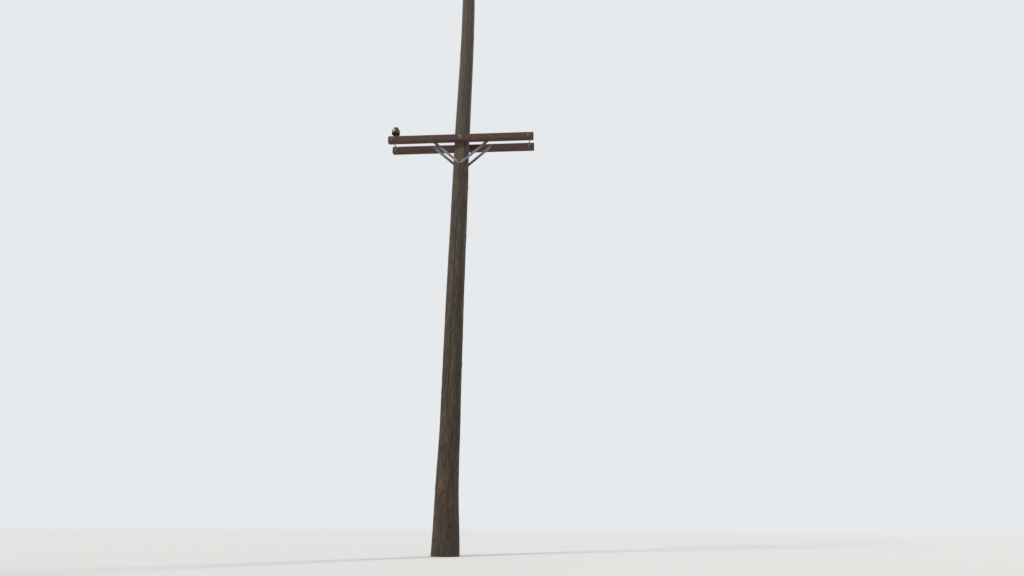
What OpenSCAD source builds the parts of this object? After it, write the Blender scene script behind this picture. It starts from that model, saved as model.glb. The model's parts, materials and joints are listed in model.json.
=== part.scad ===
// A wooden utility pole with a double crossarm part way up and a single crossarm at the top.
// The origin is the centre of the pole's foot, at ground level. X runs along the crossarms,
// -Y is the front, where the front arm and the top arm sit, and Z is up.

/* [Pole] */
// Height of the pole above the ground
pole_h = 11735; // [11000:5:13500]
// Diameter at the ground, by the straight taper alone
pole_foot_d = 310; // [295:1:350]
// Diameter at the top
pole_top_d = 200; // [185:1:240]
// How far the foot swells out past the straight taper
swell = 34; // [4:1:45]
// Height at which the swell has died away
swell_h = 1900; // [500:10:2500]
// Chamfer round the top edge
pole_chamfer = 6; // [2:1:15]

/* [Slab gains] */
// Depth of the flat seat that an arm is bolted to, at the middle of the arm
gain_depth = 9.5; // [8:0.5:14]
// Length of the flat seat past the arm at its top and past the brace bolt at its foot
gain_margin = 45; // [35:1:80]

/* [Crossarms] */
// Length of a crossarm
arm_l = 2438; // [2200:1:3050]
// Height of a crossarm
arm_h = 114; // [105:1:140]
// Depth of a crossarm, front to back
arm_d = 89; // [80:1:110]
// Chamfer along the top edges of a crossarm
arm_chamfer = 10; // [4:1:15]
// Height of the middle of the double arm above the ground
double_arm_z = 6450; // [5000:5:8500]
// Distance from the pole's top down to the middle of the top arm
top_arm_drop = 305; // [220:1:450]

/* [Holes in the arms] */
// Distance from an arm's end to its outer pin hole
pin_inset = 114; // [105:1:140]
// Distance between two pin holes on the same half of an arm
pin_step = 368; // [300:1:420]
// Diameter of a pin hole
pin_hole_d = 17.5; // [17:0.5:20]
// Distance from an arm's end to its spacing bolt
spacer_inset = 75; // [60:1:78]

/* [Braces] */
// Distance from the pole's middle to a brace's bolt in the arm
brace_reach = 489; // [450:1:600]
// Distance from the arm's middle down to the brace's bolt in the pole
brace_drop = 457; // [400:1:520]
// Width of a brace
brace_w = 44; // [32:1:50]
// Thickness of a brace
brace_t = 6; // [4:0.5:8]
// Length over which a brace of the double arm is set in, from the pole's face to the arm's
brace_set = 60; // [40:1:90]
// Distance from its lower bolt to where a brace of the top arm starts to slope out to the arm
brace_foot = 45; // [30:1:70]

/* [Through bolts] */
// Diameter of the through bolts, spacing bolts and pin shanks
bolt_d = 16; // [15:0.5:16.5]
// Diameter of the holes for them
bolt_hole_d = 17.5; // [17:0.5:20]
// Width of a square nut or bolt head
nut_w = 27; // [25:1:32]
// Thickness of a square nut
nut_t = 14; // [12:0.5:18]
// Thickness of a square bolt head
head_t = 11; // [9:0.5:14]
// Width of a square washer
washer_w = 57; // [50:1:64]
// Thickness of a square washer
washer_t = 5; // [4:0.5:7]
// Diameter of the round washers on the brace bolt
round_washer_d = 44; // [42:1:50]
// Thickness of a round washer
round_washer_t = 3; // [2:0.5:5]
// Length of thread that stands out of a large nut
thread_out = 20; // [10:1:40]
// Angle at which the corners of nuts and bolt heads are turned down on their free face
corner_angle = 30; // [20:1:40]
// Bevel at the end of a bolt, screw or pin
end_bevel = 1.5; // [0.5:0.5:2.5]

/* [Small bolts and screw] */
// Diameter of the round-headed bolts that hold the braces to the arms
small_bolt_d = 12.5; // [11:0.5:13]
// Diameter of the holes for them
small_hole_d = 14; // [13.5:0.5:16]
// Diameter of the round head
dome_d = 28; // [26:1:32]
// Height of the round head
dome_h = 7; // [5:0.5:9]
// Width of their square nuts
small_nut_w = 20; // [19:0.5:24]
// Thickness of their square nuts
small_nut_t = 11; // [9:0.5:13]
// Diameter of their washers, where the nut would bear on wood
small_washer_d = 35; // [30:1:42]
// Length of thread that stands out of a small nut
small_thread_out = 8; // [4:1:16]
// Diameter of the screw that holds the top braces to the pole
screw_d = 12.5; // [11:0.5:13]
// Length of that screw under its head, down to its point
screw_l = 100; // [75:1:140]

/* [Insulator pins] */
// Height of an insulator's skirt above the arm
pin_stand = 60; // [50:1:90]
// Diameter of the pin's base plate
pin_base_d = 44; // [36:1:54]
// Thickness of the base plate
pin_base_t = 6; // [4:0.5:9]
// Diameter of the pin's stem, just above its base
pin_root_d = 28; // [24:1:34]
// Diameter of the pin's stem, at its neck
pin_neck_d = 18; // [16.5:0.5:22]
// Diameter of the pin's head, inside the insulator
pin_head_d = 25; // [24:0.5:26]
// Length of the pin's head
pin_head_l = 44; // [30:1:50]
// Clearance all round the pin's head
pin_clearance = 0.4; // [0.3:0.1:0.8]

/* [Insulators] */
// Diameter of the skirt
insulator_d = 140; // [134:1:160]
// Height of the insulator
insulator_h = 121; // [119:1:140]
// Height of the bell, from its lip to its shoulder
bell_h = 74; // [66:1:76]
// How much smaller the bell's diameter is under its shoulder than at its lip
bell_draft = 4; // [0:1:8]
// Rounding of the bell's shoulder
shoulder_r = 20; // [14:1:24]
// Rounding of the bell's lip
lip_r = 4; // [3:0.5:5]
// Thickness of the bell at its lip
bell_t = 12; // [10:0.5:14]
// Height of the hollow inside the bell
hollow_h = 50; // [44:1:54]
// Outer diameter of the petticoat inside the bell
petticoat_d = 84; // [80:1:86]
// Thickness of the petticoat
petticoat_t = 8; // [6:0.5:9]
// Height of the petticoat's lip above the bell's lip
petticoat_z = 8; // [4:1:12]
// Thickness of the hub round the pin
hub_t = 8; // [6:0.5:9]
// Height of the hub's lip above the bell's lip
hub_z = 18; // [12:1:22]
// Depth of the socket that the pin screws into, from the bell's lip
socket_z = 66; // [58:1:72]
// Diameter of the neck where a wire is tied
neck_d = 73; // [66:1:76]
// Radius of the tie groove round the neck
tie_r = 9; // [7:0.5:10]
// Diameter of the crown above the neck
crown_d = 88; // [86:1:96]
// Rounding of the crown
crown_r = 18; // [14:1:20]
// Radius of the groove over the top that a wire lies in
saddle_r = 14; // [10:0.5:15]

/* [Hidden] */

$fn = 64;

// Colours of the pole's wood, the arms' wood, the galvanised steel and the glazed porcelain
pole_colour = [0.33, 0.29, 0.24];
arm_colour = [0.33, 0.22, 0.17];
steel_colour = [0.6, 0.61, 0.62];
glaze_colour = [0.2, 0.1, 0.07];

// How far a cutting shape runs past the face that it cuts
past = 1;
// Gap between the saddle washer and the round pole
seat_gap = 0.3;
// Gap all round a thread in its nut, or a screw in its hole
thread_gap = 0.2;
// Steps in the curve of the swell
swell_steps = 12;
// How far past the edge of the flat seat, or of an arm, a brace leaves its straight course
set_margin = 3;
// Diameter of the round free face of a square nut or bolt head, as a share of its width
free_face = 0.96;
// Angle either side of level at which the tie groove meets the bell and the crown
tie_angle = 70;
// Straight length below and above the tie groove
tie_land = 3;
// Draft of the hub's and the petticoat's walls
draft = 2;

top_arm_z = pole_h - top_arm_drop;

// Radius of the pole at height z: a straight taper, with a swell that fades up the foot
function pole_r(z) = (pole_foot_d + (pole_top_d - pole_foot_d) * z / pole_h) / 2
    + (z < swell_h ? swell * pow(1 - z / swell_h, 2) : 0);

// Points round part of a circle
function arc(x, y, r, from, to, steps = 8) =
    [for (i = [0:steps]) let (a = from + (to - from) * i / steps) [x + r * cos(a), y + r * sin(a)]];

// Distances from the pole's axis: to the flat seats, and to the outer faces of the arms
seat_y = pole_r(double_arm_z) - gain_depth;
top_seat_y = pole_r(top_arm_z) - gain_depth;
arm_face_y = seat_y + arm_d;
top_face_y = top_seat_y + arm_d;

// Height of the brace bolts, and a brace's slope and length between its two holes
brace_bolt_z = double_arm_z - brace_drop;
top_screw_z = top_arm_z - brace_drop;
brace_slope = atan2(brace_drop, brace_reach);
brace_l = norm([brace_reach, brace_drop]);

// Half the width of the flat seat at the brace bolt, and how far along a brace is clear of it
seat_half_w = sqrt(pow(pole_r(brace_bolt_z), 2) - pow(seat_y, 2));
clear_of_seat = (seat_half_w + set_margin + brace_w / 2 * sin(brace_slope)) / cos(brace_slope);
// Distance from its upper bolt to where a brace of the top arm leaves the arm's face
brace_head = (arm_h / 2 + brace_w / 2 * cos(brace_slope)) / sin(brace_slope) + set_margin;

// Outer faces of the two brace feet that lie on each other at the pole
stack_y = seat_y + 2 * brace_t;
top_stack_y = top_seat_y + 2 * brace_t;

// Distance from the pole's axis to the flat back of the saddle washer
saddle_y = pole_r(top_arm_z) + seat_gap + washer_t;

spacer_x = arm_l / 2 - spacer_inset;
pin_x = arm_l / 2 - pin_inset;
inner_pin_x = pin_x - pin_step;

// Depth of a cut that has to leave the pole's side wherever the pole is thickest
pole_reach = pole_foot_d / 2 + swell;

// Turns the back, right-hand piece into any of its four mirror images
module to_side(left = false, front = false) {
    mirror([left ? 1 : 0, 0, 0])
        mirror([0, front ? 1 : 0, 0])
            children();
}

// Puts a piece on both the left and the right
module left_and_right(x) {
    for (side = [-1, 1])
        translate([side * x, 0, 0])
            children();
}

// A cylinder along Y, from y0 to y1
module rod(d, y0, y1) {
    translate([0, y1, 0])
        rotate([90, 0, 0])
            cylinder(d = d, h = y1 - y0);
}

// A square plate across Y, with a round hole
module square_plate(w, y0, y1, hole_d) {
    difference() {
        translate([-w / 2, y0, -w / 2])
            cube([w, y1 - y0, w]);
        rod(hole_d, y0 - past, y1 + past);
    }
}

// A round washer across Y
module ring(d, y0, y1, hole_d) {
    difference() {
        rod(d, y0, y1);
        rod(hole_d, y0 - past, y1 + past);
    }
}

// A square block that bears at y = 0 and is t thick. A cone turns down the corners of its free
// face, which faces the back, or the front if front is true.
module turned_square(w, t, front = false) {
    face_r = w * free_face / 2;
    to_side(front = front)
        intersection() {
            translate([-w / 2, 0, -w / 2])
                cube([w, t, w]);
            translate([0, t, 0])
                rotate([90, 0, 0])
                    cylinder(h = t + past, r1 = face_r, r2 = face_r + (t + past) / tan(corner_angle));
        }
}

// A square nut that bears at y. Its free face faces the back, or the front if front is true.
module square_nut(w, t, d, y, front) {
    translate([0, y, 0])
        difference() {
            turned_square(w, t, front);
            rod(d + 2 * thread_gap, -t - past, t + past);
        }
}

module nut(y, front = false) {
    square_nut(nut_w, nut_t, bolt_d, y, front);
}

module small_nut(y, front = false) {
    square_nut(small_nut_w, small_nut_t, small_bolt_d, y, front);
}

// A bolt's shank along Y, from y0 to a bevelled end at y1
module shank(d, y0, y1) {
    l = y1 - y0;
    translate([0, y0, 0])
        rotate([-90, 0, 0])
            rotate_extrude()
                polygon([[0, 0], [d / 2, 0], [d / 2, l - end_bevel], [d / 2 - end_bevel, l], [0, l]]);
}

// A square head on the front of a bolt, whose seat is at y
module square_head(y) {
    translate([0, y, 0]) turned_square(nut_w, head_t, front = true);
}

// A through bolt with its square head on the front, whose seat is at y0, and its end at y1
module square_head_bolt(y0, y1) {
    shank(bolt_d, y0 - past, y1);
    square_head(y0);
}

// A round-headed bolt whose domed head stands out on the back from y1, and its end is at y0
module round_head_bolt(y0, y1) {
    dome_r = (pow(dome_d / 2, 2) + pow(dome_h, 2)) / (2 * dome_h);
    edge_angle = acos(dome_d / 2 / dome_r);
    to_side(front = true) shank(small_bolt_d, -y1 - past, -y0);
    translate([0, y1, 0])
        rotate([-90, 0, 0])
            rotate_extrude()
                polygon(concat([[0, 0]], arc(0, dome_h - dome_r, dome_r, edge_angle, 90)));
}

// The flat seat for an arm and its braces, cut from the back of the pole
module gain(y, arm_z) {
    foot_z = arm_z - brace_drop - gain_margin;
    translate([-pole_reach, y, foot_z])
        cube([2 * pole_reach, pole_reach, arm_z + arm_h / 2 + gain_margin - foot_z]);
}

// The hole that the top braces' screw turns into, from the front
module screw_hole() {
    rod(screw_d + 2 * thread_gap, -pole_reach, screw_l - top_stack_y + past);
}

module pole_shaft() {
    side = [for (i = [0:swell_steps]) let (z = swell_h * i / swell_steps) [pole_r(z), z]];
    crown = [[pole_r(pole_h - pole_chamfer), pole_h - pole_chamfer],
        [pole_top_d / 2 - pole_chamfer, pole_h], [0, pole_h]];
    color(pole_colour)
        difference() {
            rotate_extrude() polygon(concat([[0, 0]], side, crown));
            gain(seat_y, double_arm_z);
            to_side(front = true) gain(seat_y, double_arm_z);
            to_side(front = true) gain(top_seat_y, top_arm_z);
            for (z = [double_arm_z, brace_bolt_z, top_arm_z])
                translate([0, 0, z]) rod(bolt_hole_d, -pole_reach, pole_reach);
            translate([0, 0, top_screw_z]) screw_hole();
        }
}

// A crossarm about its own middle, with holes for pins, braces and the bolts along Y
module crossarm(has_spacers) {
    section = [[-arm_d / 2, -arm_h / 2], [arm_d / 2, -arm_h / 2],
        [arm_d / 2, arm_h / 2 - arm_chamfer], [arm_d / 2 - arm_chamfer, arm_h / 2],
        [arm_chamfer - arm_d / 2, arm_h / 2], [-arm_d / 2, arm_h / 2 - arm_chamfer]];
    through = arm_d / 2 + past;
    color(arm_colour)
        difference() {
            rotate([90, 0, 90])
                translate([0, 0, -arm_l / 2])
                    linear_extrude(arm_l) polygon(section);
            for (x = [inner_pin_x, pin_x])
                left_and_right(x)
                    translate([0, 0, -arm_h / 2 - past])
                        cylinder(d = pin_hole_d, h = arm_h + 2 * past);
            left_and_right(brace_reach) rod(small_hole_d, -through, through);
            if (has_spacers)
                left_and_right(spacer_x) rod(bolt_hole_d, -through, through);
            rod(bolt_hole_d, -through, through);
        }
}

module front_arm() {
    translate([0, -seat_y - arm_d / 2, double_arm_z]) crossarm(has_spacers = true);
}

module back_arm() {
    translate([0, seat_y + arm_d / 2, double_arm_z]) crossarm(has_spacers = true);
}

module top_arm() {
    translate([0, -top_seat_y - arm_d / 2, top_arm_z]) crossarm(has_spacers = false);
}

// The round-ended outline of a brace, seen from the side that its bolts go through. X runs
// along the brace from the bolt in the pole to the bolt in the arm.
module brace_outline(y0, y1) {
    rod(brace_w, y0, y1);
    translate([brace_l, 0, 0]) rod(brace_w, y0, y1);
    translate([0, y0, -brace_w / 2]) cube([brace_l, y1 - y0, brace_w]);
}

// A flat bar whose foot is at height z and which slopes up to the arm. Between x0 and x1 along
// it, it is set over from y = foot_y at the pole to y = head_y at the arm. It has two holes.
module brace(z, foot_y, head_y, x0, x1, foot_hole_d) {
    start_x = -brace_w / 2;
    end_x = brace_l + brace_w / 2;
    low_y = min(foot_y, head_y) - past;
    high_y = max(foot_y, head_y) + brace_t + past;
    edge = [[start_x, foot_y], [x0, foot_y], [x1, head_y], [end_x, head_y],
        [end_x, head_y + brace_t], [x1, head_y + brace_t],
        [x0, foot_y + brace_t], [start_x, foot_y + brace_t]];
    color(steel_colour)
        translate([0, 0, z])
            rotate([0, -brace_slope, 0])
                difference() {
                    intersection() {
                        translate([0, 0, -brace_w / 2])
                            linear_extrude(brace_w) polygon(edge);
                        brace_outline(low_y, high_y);
                    }
                    rod(foot_hole_d, low_y, high_y);
                    translate([brace_l, 0, 0]) rod(small_hole_d, low_y, high_y);
                }
}

// A brace of the double arm. Its foot lies on the pole's seat, or layer thicknesses out from
// it, and its head is set in to bolt to the arm's inner face.
module inner_brace(layer) {
    brace(brace_bolt_z, seat_y + layer * brace_t, seat_y - brace_t,
        clear_of_seat, clear_of_seat + brace_set, bolt_hole_d);
}

// A brace from the pole's seat out to the top arm's front face
module outer_brace(layer) {
    brace(top_screw_z, top_seat_y + layer * brace_t, top_face_y,
        brace_foot, brace_l - brace_head, small_hole_d);
}

module front_left_brace() {
    to_side(left = true, front = true) inner_brace(0);
}

module front_right_brace() {
    to_side(front = true) inner_brace(1);
}

module back_left_brace() {
    to_side(left = true) inner_brace(0);
}

module back_right_brace() {
    to_side() inner_brace(1);
}

module top_left_brace() {
    to_side(left = true, front = true) outer_brace(0);
}

module top_right_brace() {
    to_side(front = true) outer_brace(1);
}

module arm_bolt() {
    seat = arm_face_y + washer_t;
    color(steel_colour)
        translate([0, 0, double_arm_z]) square_head_bolt(-seat, seat + nut_t + thread_out);
}

module arm_bolt_washers() {
    color(steel_colour)
        translate([0, 0, double_arm_z])
            for (front = [true, false])
                to_side(front = front)
                    square_plate(washer_w, arm_face_y, arm_face_y + washer_t, bolt_hole_d);
}

module arm_bolt_nut() {
    color(steel_colour)
        translate([0, 0, double_arm_z]) nut(arm_face_y + washer_t);
}

module brace_bolt() {
    seat = stack_y + round_washer_t;
    color(steel_colour)
        translate([0, 0, brace_bolt_z]) square_head_bolt(-seat, seat + nut_t + thread_out);
}

module brace_bolt_washers() {
    color(steel_colour)
        translate([0, 0, brace_bolt_z])
            for (front = [true, false])
                to_side(front = front)
                    ring(round_washer_d, stack_y, stack_y + round_washer_t, bolt_hole_d);
}

module brace_bolt_nut() {
    color(steel_colour)
        translate([0, 0, brace_bolt_z]) nut(stack_y + round_washer_t);
}

// A threaded rod that holds the arms' ends apart
module spacing_bolt(x) {
    end_y = arm_face_y + washer_t + nut_t + thread_out;
    color(steel_colour)
        translate([x, 0, double_arm_z])
            for (front = [true, false])
                to_side(front = front) shank(bolt_d, 0, end_y);
}

// Its four washers, one on each face of each arm
module spacing_washers(x) {
    color(steel_colour)
        translate([x, 0, double_arm_z])
            for (front = [true, false], y = [seat_y - washer_t, arm_face_y])
                to_side(front = front) square_plate(washer_w, y, y + washer_t, bolt_hole_d);
}

// Its four nuts, one on each washer
module spacing_nuts(x) {
    color(steel_colour)
        translate([x, 0, double_arm_z])
            for (side = [true, false])
                to_side(front = side) {
                    nut(seat_y - washer_t, front = true);
                    nut(arm_face_y + washer_t);
                }
}

module left_spacing_bolt() {
    spacing_bolt(-spacer_x);
}

module left_spacing_washers() {
    spacing_washers(-spacer_x);
}

module left_spacing_nuts() {
    spacing_nuts(-spacer_x);
}

module right_spacing_bolt() {
    spacing_bolt(spacer_x);
}

module right_spacing_washers() {
    spacing_washers(spacer_x);
}

module right_spacing_nuts() {
    spacing_nuts(spacer_x);
}

// The two bolts that hold a pair of braces to an arm, with their heads on the outside
module brace_arm_bolts(arm_z, nut_y, head_y) {
    color(steel_colour)
        translate([0, 0, arm_z])
            left_and_right(brace_reach)
                round_head_bolt(nut_y - small_nut_t - small_thread_out, head_y);
}

// Their nuts, whose seats face outwards at nut_y
module brace_arm_nuts(arm_z, nut_y) {
    color(steel_colour)
        translate([0, 0, arm_z])
            left_and_right(brace_reach) small_nut(nut_y, front = true);
}

module front_brace_arm_bolts() {
    to_side(front = true) brace_arm_bolts(double_arm_z, seat_y - brace_t, arm_face_y);
}

module front_brace_arm_nuts() {
    to_side(front = true) brace_arm_nuts(double_arm_z, seat_y - brace_t);
}

module back_brace_arm_bolts() {
    brace_arm_bolts(double_arm_z, seat_y - brace_t, arm_face_y);
}

module back_brace_arm_nuts() {
    brace_arm_nuts(double_arm_z, seat_y - brace_t);
}

module top_brace_arm_bolts() {
    to_side(front = true)
        brace_arm_bolts(top_arm_z, top_seat_y - round_washer_t, top_face_y + brace_t);
}

module top_brace_arm_washers() {
    color(steel_colour)
        translate([0, 0, top_arm_z])
            to_side(front = true)
                left_and_right(brace_reach)
                    ring(small_washer_d, top_seat_y - round_washer_t, top_seat_y, small_hole_d);
}

module top_brace_arm_nuts() {
    to_side(front = true) brace_arm_nuts(top_arm_z, top_seat_y - round_washer_t);
}

module top_arm_bolt() {
    color(steel_colour)
        translate([0, 0, top_arm_z])
            square_head_bolt(-top_face_y - washer_t, saddle_y + nut_t + thread_out);
}

module top_arm_washer() {
    color(steel_colour)
        translate([0, 0, top_arm_z])
            to_side(front = true)
                square_plate(washer_w, top_face_y, top_face_y + washer_t, bolt_hole_d);
}

// A washer with a flat back, hollowed on its front to fit round the pole
module top_arm_saddle_washer() {
    low_z = top_arm_z - washer_w / 2 - past;
    high_z = top_arm_z + washer_w / 2 + past;
    inner_y = saddle_y - washer_t - washer_w / 4;
    color(steel_colour)
        difference() {
            translate([0, 0, top_arm_z])
                square_plate(washer_w, inner_y, saddle_y, bolt_hole_d);
            translate([0, 0, low_z])
                cylinder(h = high_z - low_z, r1 = pole_r(low_z) + seat_gap,
                    r2 = pole_r(high_z) + seat_gap);
        }
}

module top_arm_bolt_nut() {
    color(steel_colour)
        translate([0, 0, top_arm_z]) nut(saddle_y);
}

module top_brace_screw() {
    point_l = screw_d;
    shank_y = screw_l - point_l - top_stack_y;
    color(steel_colour)
        translate([0, 0, top_screw_z]) {
            rod(screw_d, -top_stack_y - past, shank_y);
            translate([0, shank_y, 0])
                rotate([-90, 0, 0])
                    cylinder(d1 = screw_d, d2 = 0, h = point_l);
            square_head(-top_stack_y);
        }
}

// Places a pin or an insulator on an arm, with z = 0 on the arm's top face
module on_double_arm(x) {
    translate([x, -seat_y - arm_d / 2, double_arm_z + arm_h / 2]) children();
}

module on_top_arm(x) {
    translate([x, -top_seat_y - arm_d / 2, top_arm_z + arm_h / 2]) children();
}

// Puts a piece under every pin
module under_pins() {
    on_double_arm(-pin_x) children();
    on_top_arm(-pin_x) children();
    on_top_arm(pin_x) children();
}

// A steel pin: a shank through the arm, a base plate, a tapered stem and a thick head
module pin() {
    end_z = -arm_h - washer_t - nut_t - thread_out;
    top_z = pin_stand + socket_z;
    head_z = top_z - pin_head_l;
    root_z = pin_base_t + (pin_base_d - pin_root_d) / 2;
    color(steel_colour)
        rotate_extrude()
            polygon([[0, end_z], [bolt_d / 2 - end_bevel, end_z], [bolt_d / 2, end_z + end_bevel],
                [bolt_d / 2, 0], [pin_base_d / 2, 0],
                [pin_base_d / 2, pin_base_t], [pin_root_d / 2, root_z],
                [pin_neck_d / 2, head_z - pin_neck_d / 2], [pin_head_d / 2, head_z],
                [pin_head_d / 2, top_z], [0, top_z]]);
}

module front_left_pin() {
    on_double_arm(-pin_x) pin();
}

module top_left_pin() {
    on_top_arm(-pin_x) pin();
}

module top_right_pin() {
    on_top_arm(pin_x) pin();
}

module pin_washers() {
    color(steel_colour)
        under_pins()
            translate([0, 0, -arm_h])
                rotate([-90, 0, 0]) square_plate(washer_w, 0, washer_t, pin_hole_d);
}

module pin_nuts() {
    color(steel_colour)
        under_pins()
            translate([0, 0, -arm_h])
                rotate([-90, 0, 0]) nut(washer_t);
}

// A porcelain insulator about its axis, with z = 0 at the bell's lip: the pin's socket,
// the hub, a petticoat and the bell below, then the tie groove and the crown
module insulator() {
    socket_r = pin_head_d / 2 + pin_clearance;
    hub_r = socket_r + hub_t;
    coat_r = petticoat_d / 2;
    bell_r = insulator_d / 2;
    shoulder_x = bell_r - bell_draft / 2 - shoulder_r;
    tie_x = neck_d / 2 + tie_r;
    tie_z = lip_r + bell_h + tie_land + tie_r * sin(tie_angle);
    crown_z = tie_z + tie_r * sin(tie_angle) + tie_land;
    inside = [[0, socket_z], [socket_r, socket_z], [socket_r, hub_z], [hub_r, hub_z],
        [hub_r + draft, hollow_h], [coat_r - petticoat_t - draft, hollow_h],
        [coat_r - petticoat_t, petticoat_z], [coat_r, petticoat_z],
        [coat_r + draft, hollow_h], [bell_r - bell_t - draft, hollow_h]];
    lip = concat(arc(bell_r - bell_t + lip_r, lip_r, lip_r, 180, 270, 5),
        arc(bell_r - lip_r, lip_r, lip_r, 270, 360, 5));
    shoulder = arc(shoulder_x, lip_r + bell_h - shoulder_r, shoulder_r, 0, 90);
    neck = arc(tie_x, tie_z, tie_r, 180 + tie_angle, 180 - tie_angle, 10);
    crown = concat([[crown_d / 2, crown_z]],
        arc(crown_d / 2 - crown_r, insulator_h - crown_r, crown_r, 0, 90));
    color(glaze_colour)
        translate([0, 0, pin_stand])
            difference() {
                rotate_extrude()
                    polygon(concat(inside, lip, shoulder, neck, crown, [[0, insulator_h]]));
                translate([0, 0, insulator_h]) rod(2 * saddle_r, -crown_d, crown_d);
            }
}

module front_left_insulator() {
    on_double_arm(-pin_x) insulator();
}

module top_left_insulator() {
    on_top_arm(-pin_x) insulator();
}

module top_right_insulator() {
    on_top_arm(pin_x) insulator();
}

pole_shaft();
front_arm();
back_arm();
top_arm();
front_left_brace();
front_right_brace();
back_left_brace();
back_right_brace();
top_left_brace();
top_right_brace();
arm_bolt();
arm_bolt_washers();
arm_bolt_nut();
brace_bolt();
brace_bolt_washers();
brace_bolt_nut();
left_spacing_bolt();
left_spacing_washers();
left_spacing_nuts();
right_spacing_bolt();
right_spacing_washers();
right_spacing_nuts();
front_brace_arm_bolts();
front_brace_arm_nuts();
back_brace_arm_bolts();
back_brace_arm_nuts();
top_brace_arm_bolts();
top_brace_arm_washers();
top_brace_arm_nuts();
top_arm_bolt();
top_arm_washer();
top_arm_saddle_washer();
top_arm_bolt_nut();
top_brace_screw();
front_left_pin();
top_left_pin();
top_right_pin();
pin_washers();
pin_nuts();
front_left_insulator();
top_left_insulator();
top_right_insulator();
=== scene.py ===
"""Looks of a wooden utility pole with a double crossarm and a top crossarm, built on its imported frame.

Everything is in metres, in the frame's own place: the foot's centre is the origin, Z is up, X runs along the
crossarms and -Y is the front. Colours are linear.
"""

import json
import math

import bpy
import numpy as np
from mathutils import Matrix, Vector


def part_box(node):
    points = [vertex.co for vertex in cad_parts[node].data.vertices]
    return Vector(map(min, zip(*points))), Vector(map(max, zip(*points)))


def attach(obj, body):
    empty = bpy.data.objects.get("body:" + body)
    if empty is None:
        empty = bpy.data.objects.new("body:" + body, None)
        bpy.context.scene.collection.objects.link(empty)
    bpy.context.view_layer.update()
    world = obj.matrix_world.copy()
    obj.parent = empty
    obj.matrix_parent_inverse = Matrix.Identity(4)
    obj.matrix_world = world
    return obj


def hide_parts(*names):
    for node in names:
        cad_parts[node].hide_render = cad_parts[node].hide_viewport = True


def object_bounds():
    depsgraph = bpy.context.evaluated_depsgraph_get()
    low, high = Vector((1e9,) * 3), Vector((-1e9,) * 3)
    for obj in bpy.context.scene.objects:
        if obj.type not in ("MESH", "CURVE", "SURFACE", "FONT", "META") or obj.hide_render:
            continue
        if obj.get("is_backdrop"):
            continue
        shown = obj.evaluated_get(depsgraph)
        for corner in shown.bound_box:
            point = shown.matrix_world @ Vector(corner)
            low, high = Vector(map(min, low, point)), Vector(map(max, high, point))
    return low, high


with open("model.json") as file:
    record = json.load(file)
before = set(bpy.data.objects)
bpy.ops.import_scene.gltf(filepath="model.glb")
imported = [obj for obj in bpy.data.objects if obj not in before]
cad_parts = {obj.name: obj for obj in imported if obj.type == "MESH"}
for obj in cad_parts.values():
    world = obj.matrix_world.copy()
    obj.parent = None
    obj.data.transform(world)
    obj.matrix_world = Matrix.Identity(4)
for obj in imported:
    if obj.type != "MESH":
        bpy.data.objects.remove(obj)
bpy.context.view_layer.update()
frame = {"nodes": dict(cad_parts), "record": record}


# The pole's shape
# One debarked softwood log, tapered from foot to top, with a swelled foot and flat seats sawn for the arms.
# Drying has opened long checks that follow its spiral grain, and trimmed knots stand out in whorls.

def smooth_noise(across, along, cells_across, cells_along, seed):
    """Noise from -1 to 1: random values at the corners of a grid of cells, blended by the curve 3t² - 2t³.
    Both places run from 0 to 1, and the first closes on itself."""
    values = np.random.default_rng(seed).uniform(-1, 1, (cells_along + 2, cells_across))
    x = (across % 1) * cells_across
    y = np.clip(along, 0, 1) * cells_along
    i, j = x.astype(int), y.astype(int)
    s, t = x - i, y - j
    s, t = s * s * (3 - 2 * s), t * t * (3 - 2 * t)
    i, k = i % cells_across, (i + 1) % cells_across
    low = values[j, i] * (1 - s) + values[j, k] * s
    high = values[j + 1, i] * (1 - s) + values[j + 1, k] * s
    return low * (1 - t) + high * t


def ramp(value, low, high):
    """0 below low, 1 above high, and the curve 3t² - 2t³ between them."""
    t = np.clip((value - low) / (high - low), 0, 1)
    return t * t * (3 - 2 * t)


def turn_between(a, b):
    """The turn from angle b to angle a, from -pi to pi."""
    return (a - b + np.pi) % (2 * np.pi) - np.pi


def joined(*parts):
    """Points or faces from their parts, each stretched to the shape of all of them."""
    return np.stack(np.broadcast_arrays(*parts), -1)


def node_middle(name):
    """The middle of a node's box."""
    low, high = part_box(name)
    return (low + high) / 2


def half_size(name):
    """Half the size of a node's box along X, Y and Z."""
    low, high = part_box(name)
    return (high - low) / 2


shaft_mesh = frame["nodes"]["pole_shaft"].data
shaft = np.empty(len(shaft_mesh.vertices) * 3, np.float32)
shaft_mesh.vertices.foreach_get("co", shaft)
shaft = shaft.reshape(-1, 3).astype(float)
pole_top = shaft[:, 2].max()
shaft_side = shaft[(np.abs(shaft[:, 1]) < 1e-4) & (shaft[:, 0] > 0.05)]
shaft_side = shaft_side[np.argsort(shaft_side[:, 2])]

seat_margin = 0.045
seat_y = -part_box("front_arm")[1].y
top_seat_y = -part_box("top_arm")[1].y
brace_bolt_z, top_screw_z = node_middle("brace_bolt").z, node_middle("top_brace_screw").z
double_seat = (brace_bolt_z - seat_margin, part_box("front_arm")[1].z + seat_margin)
top_seat = (top_screw_z - seat_margin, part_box("top_arm")[1].z + seat_margin)
calm_margin, rough_margin = 0.02, 0.12
grain_twist = math.radians(2.2)


def taper(height):
    """The radius of the frame's log at a height, along straight lines between its rings."""
    return np.interp(height, shaft_side[:, 2], shaft_side[:, 0])


# Each crook is a stretch of the log, from its low end to its high one, and how far its middle stands aside
crooks = ((0.0, 1.75, -0.013), (0.0, 6.2, -0.010), (6.2, 11.2, 0.028))


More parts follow.
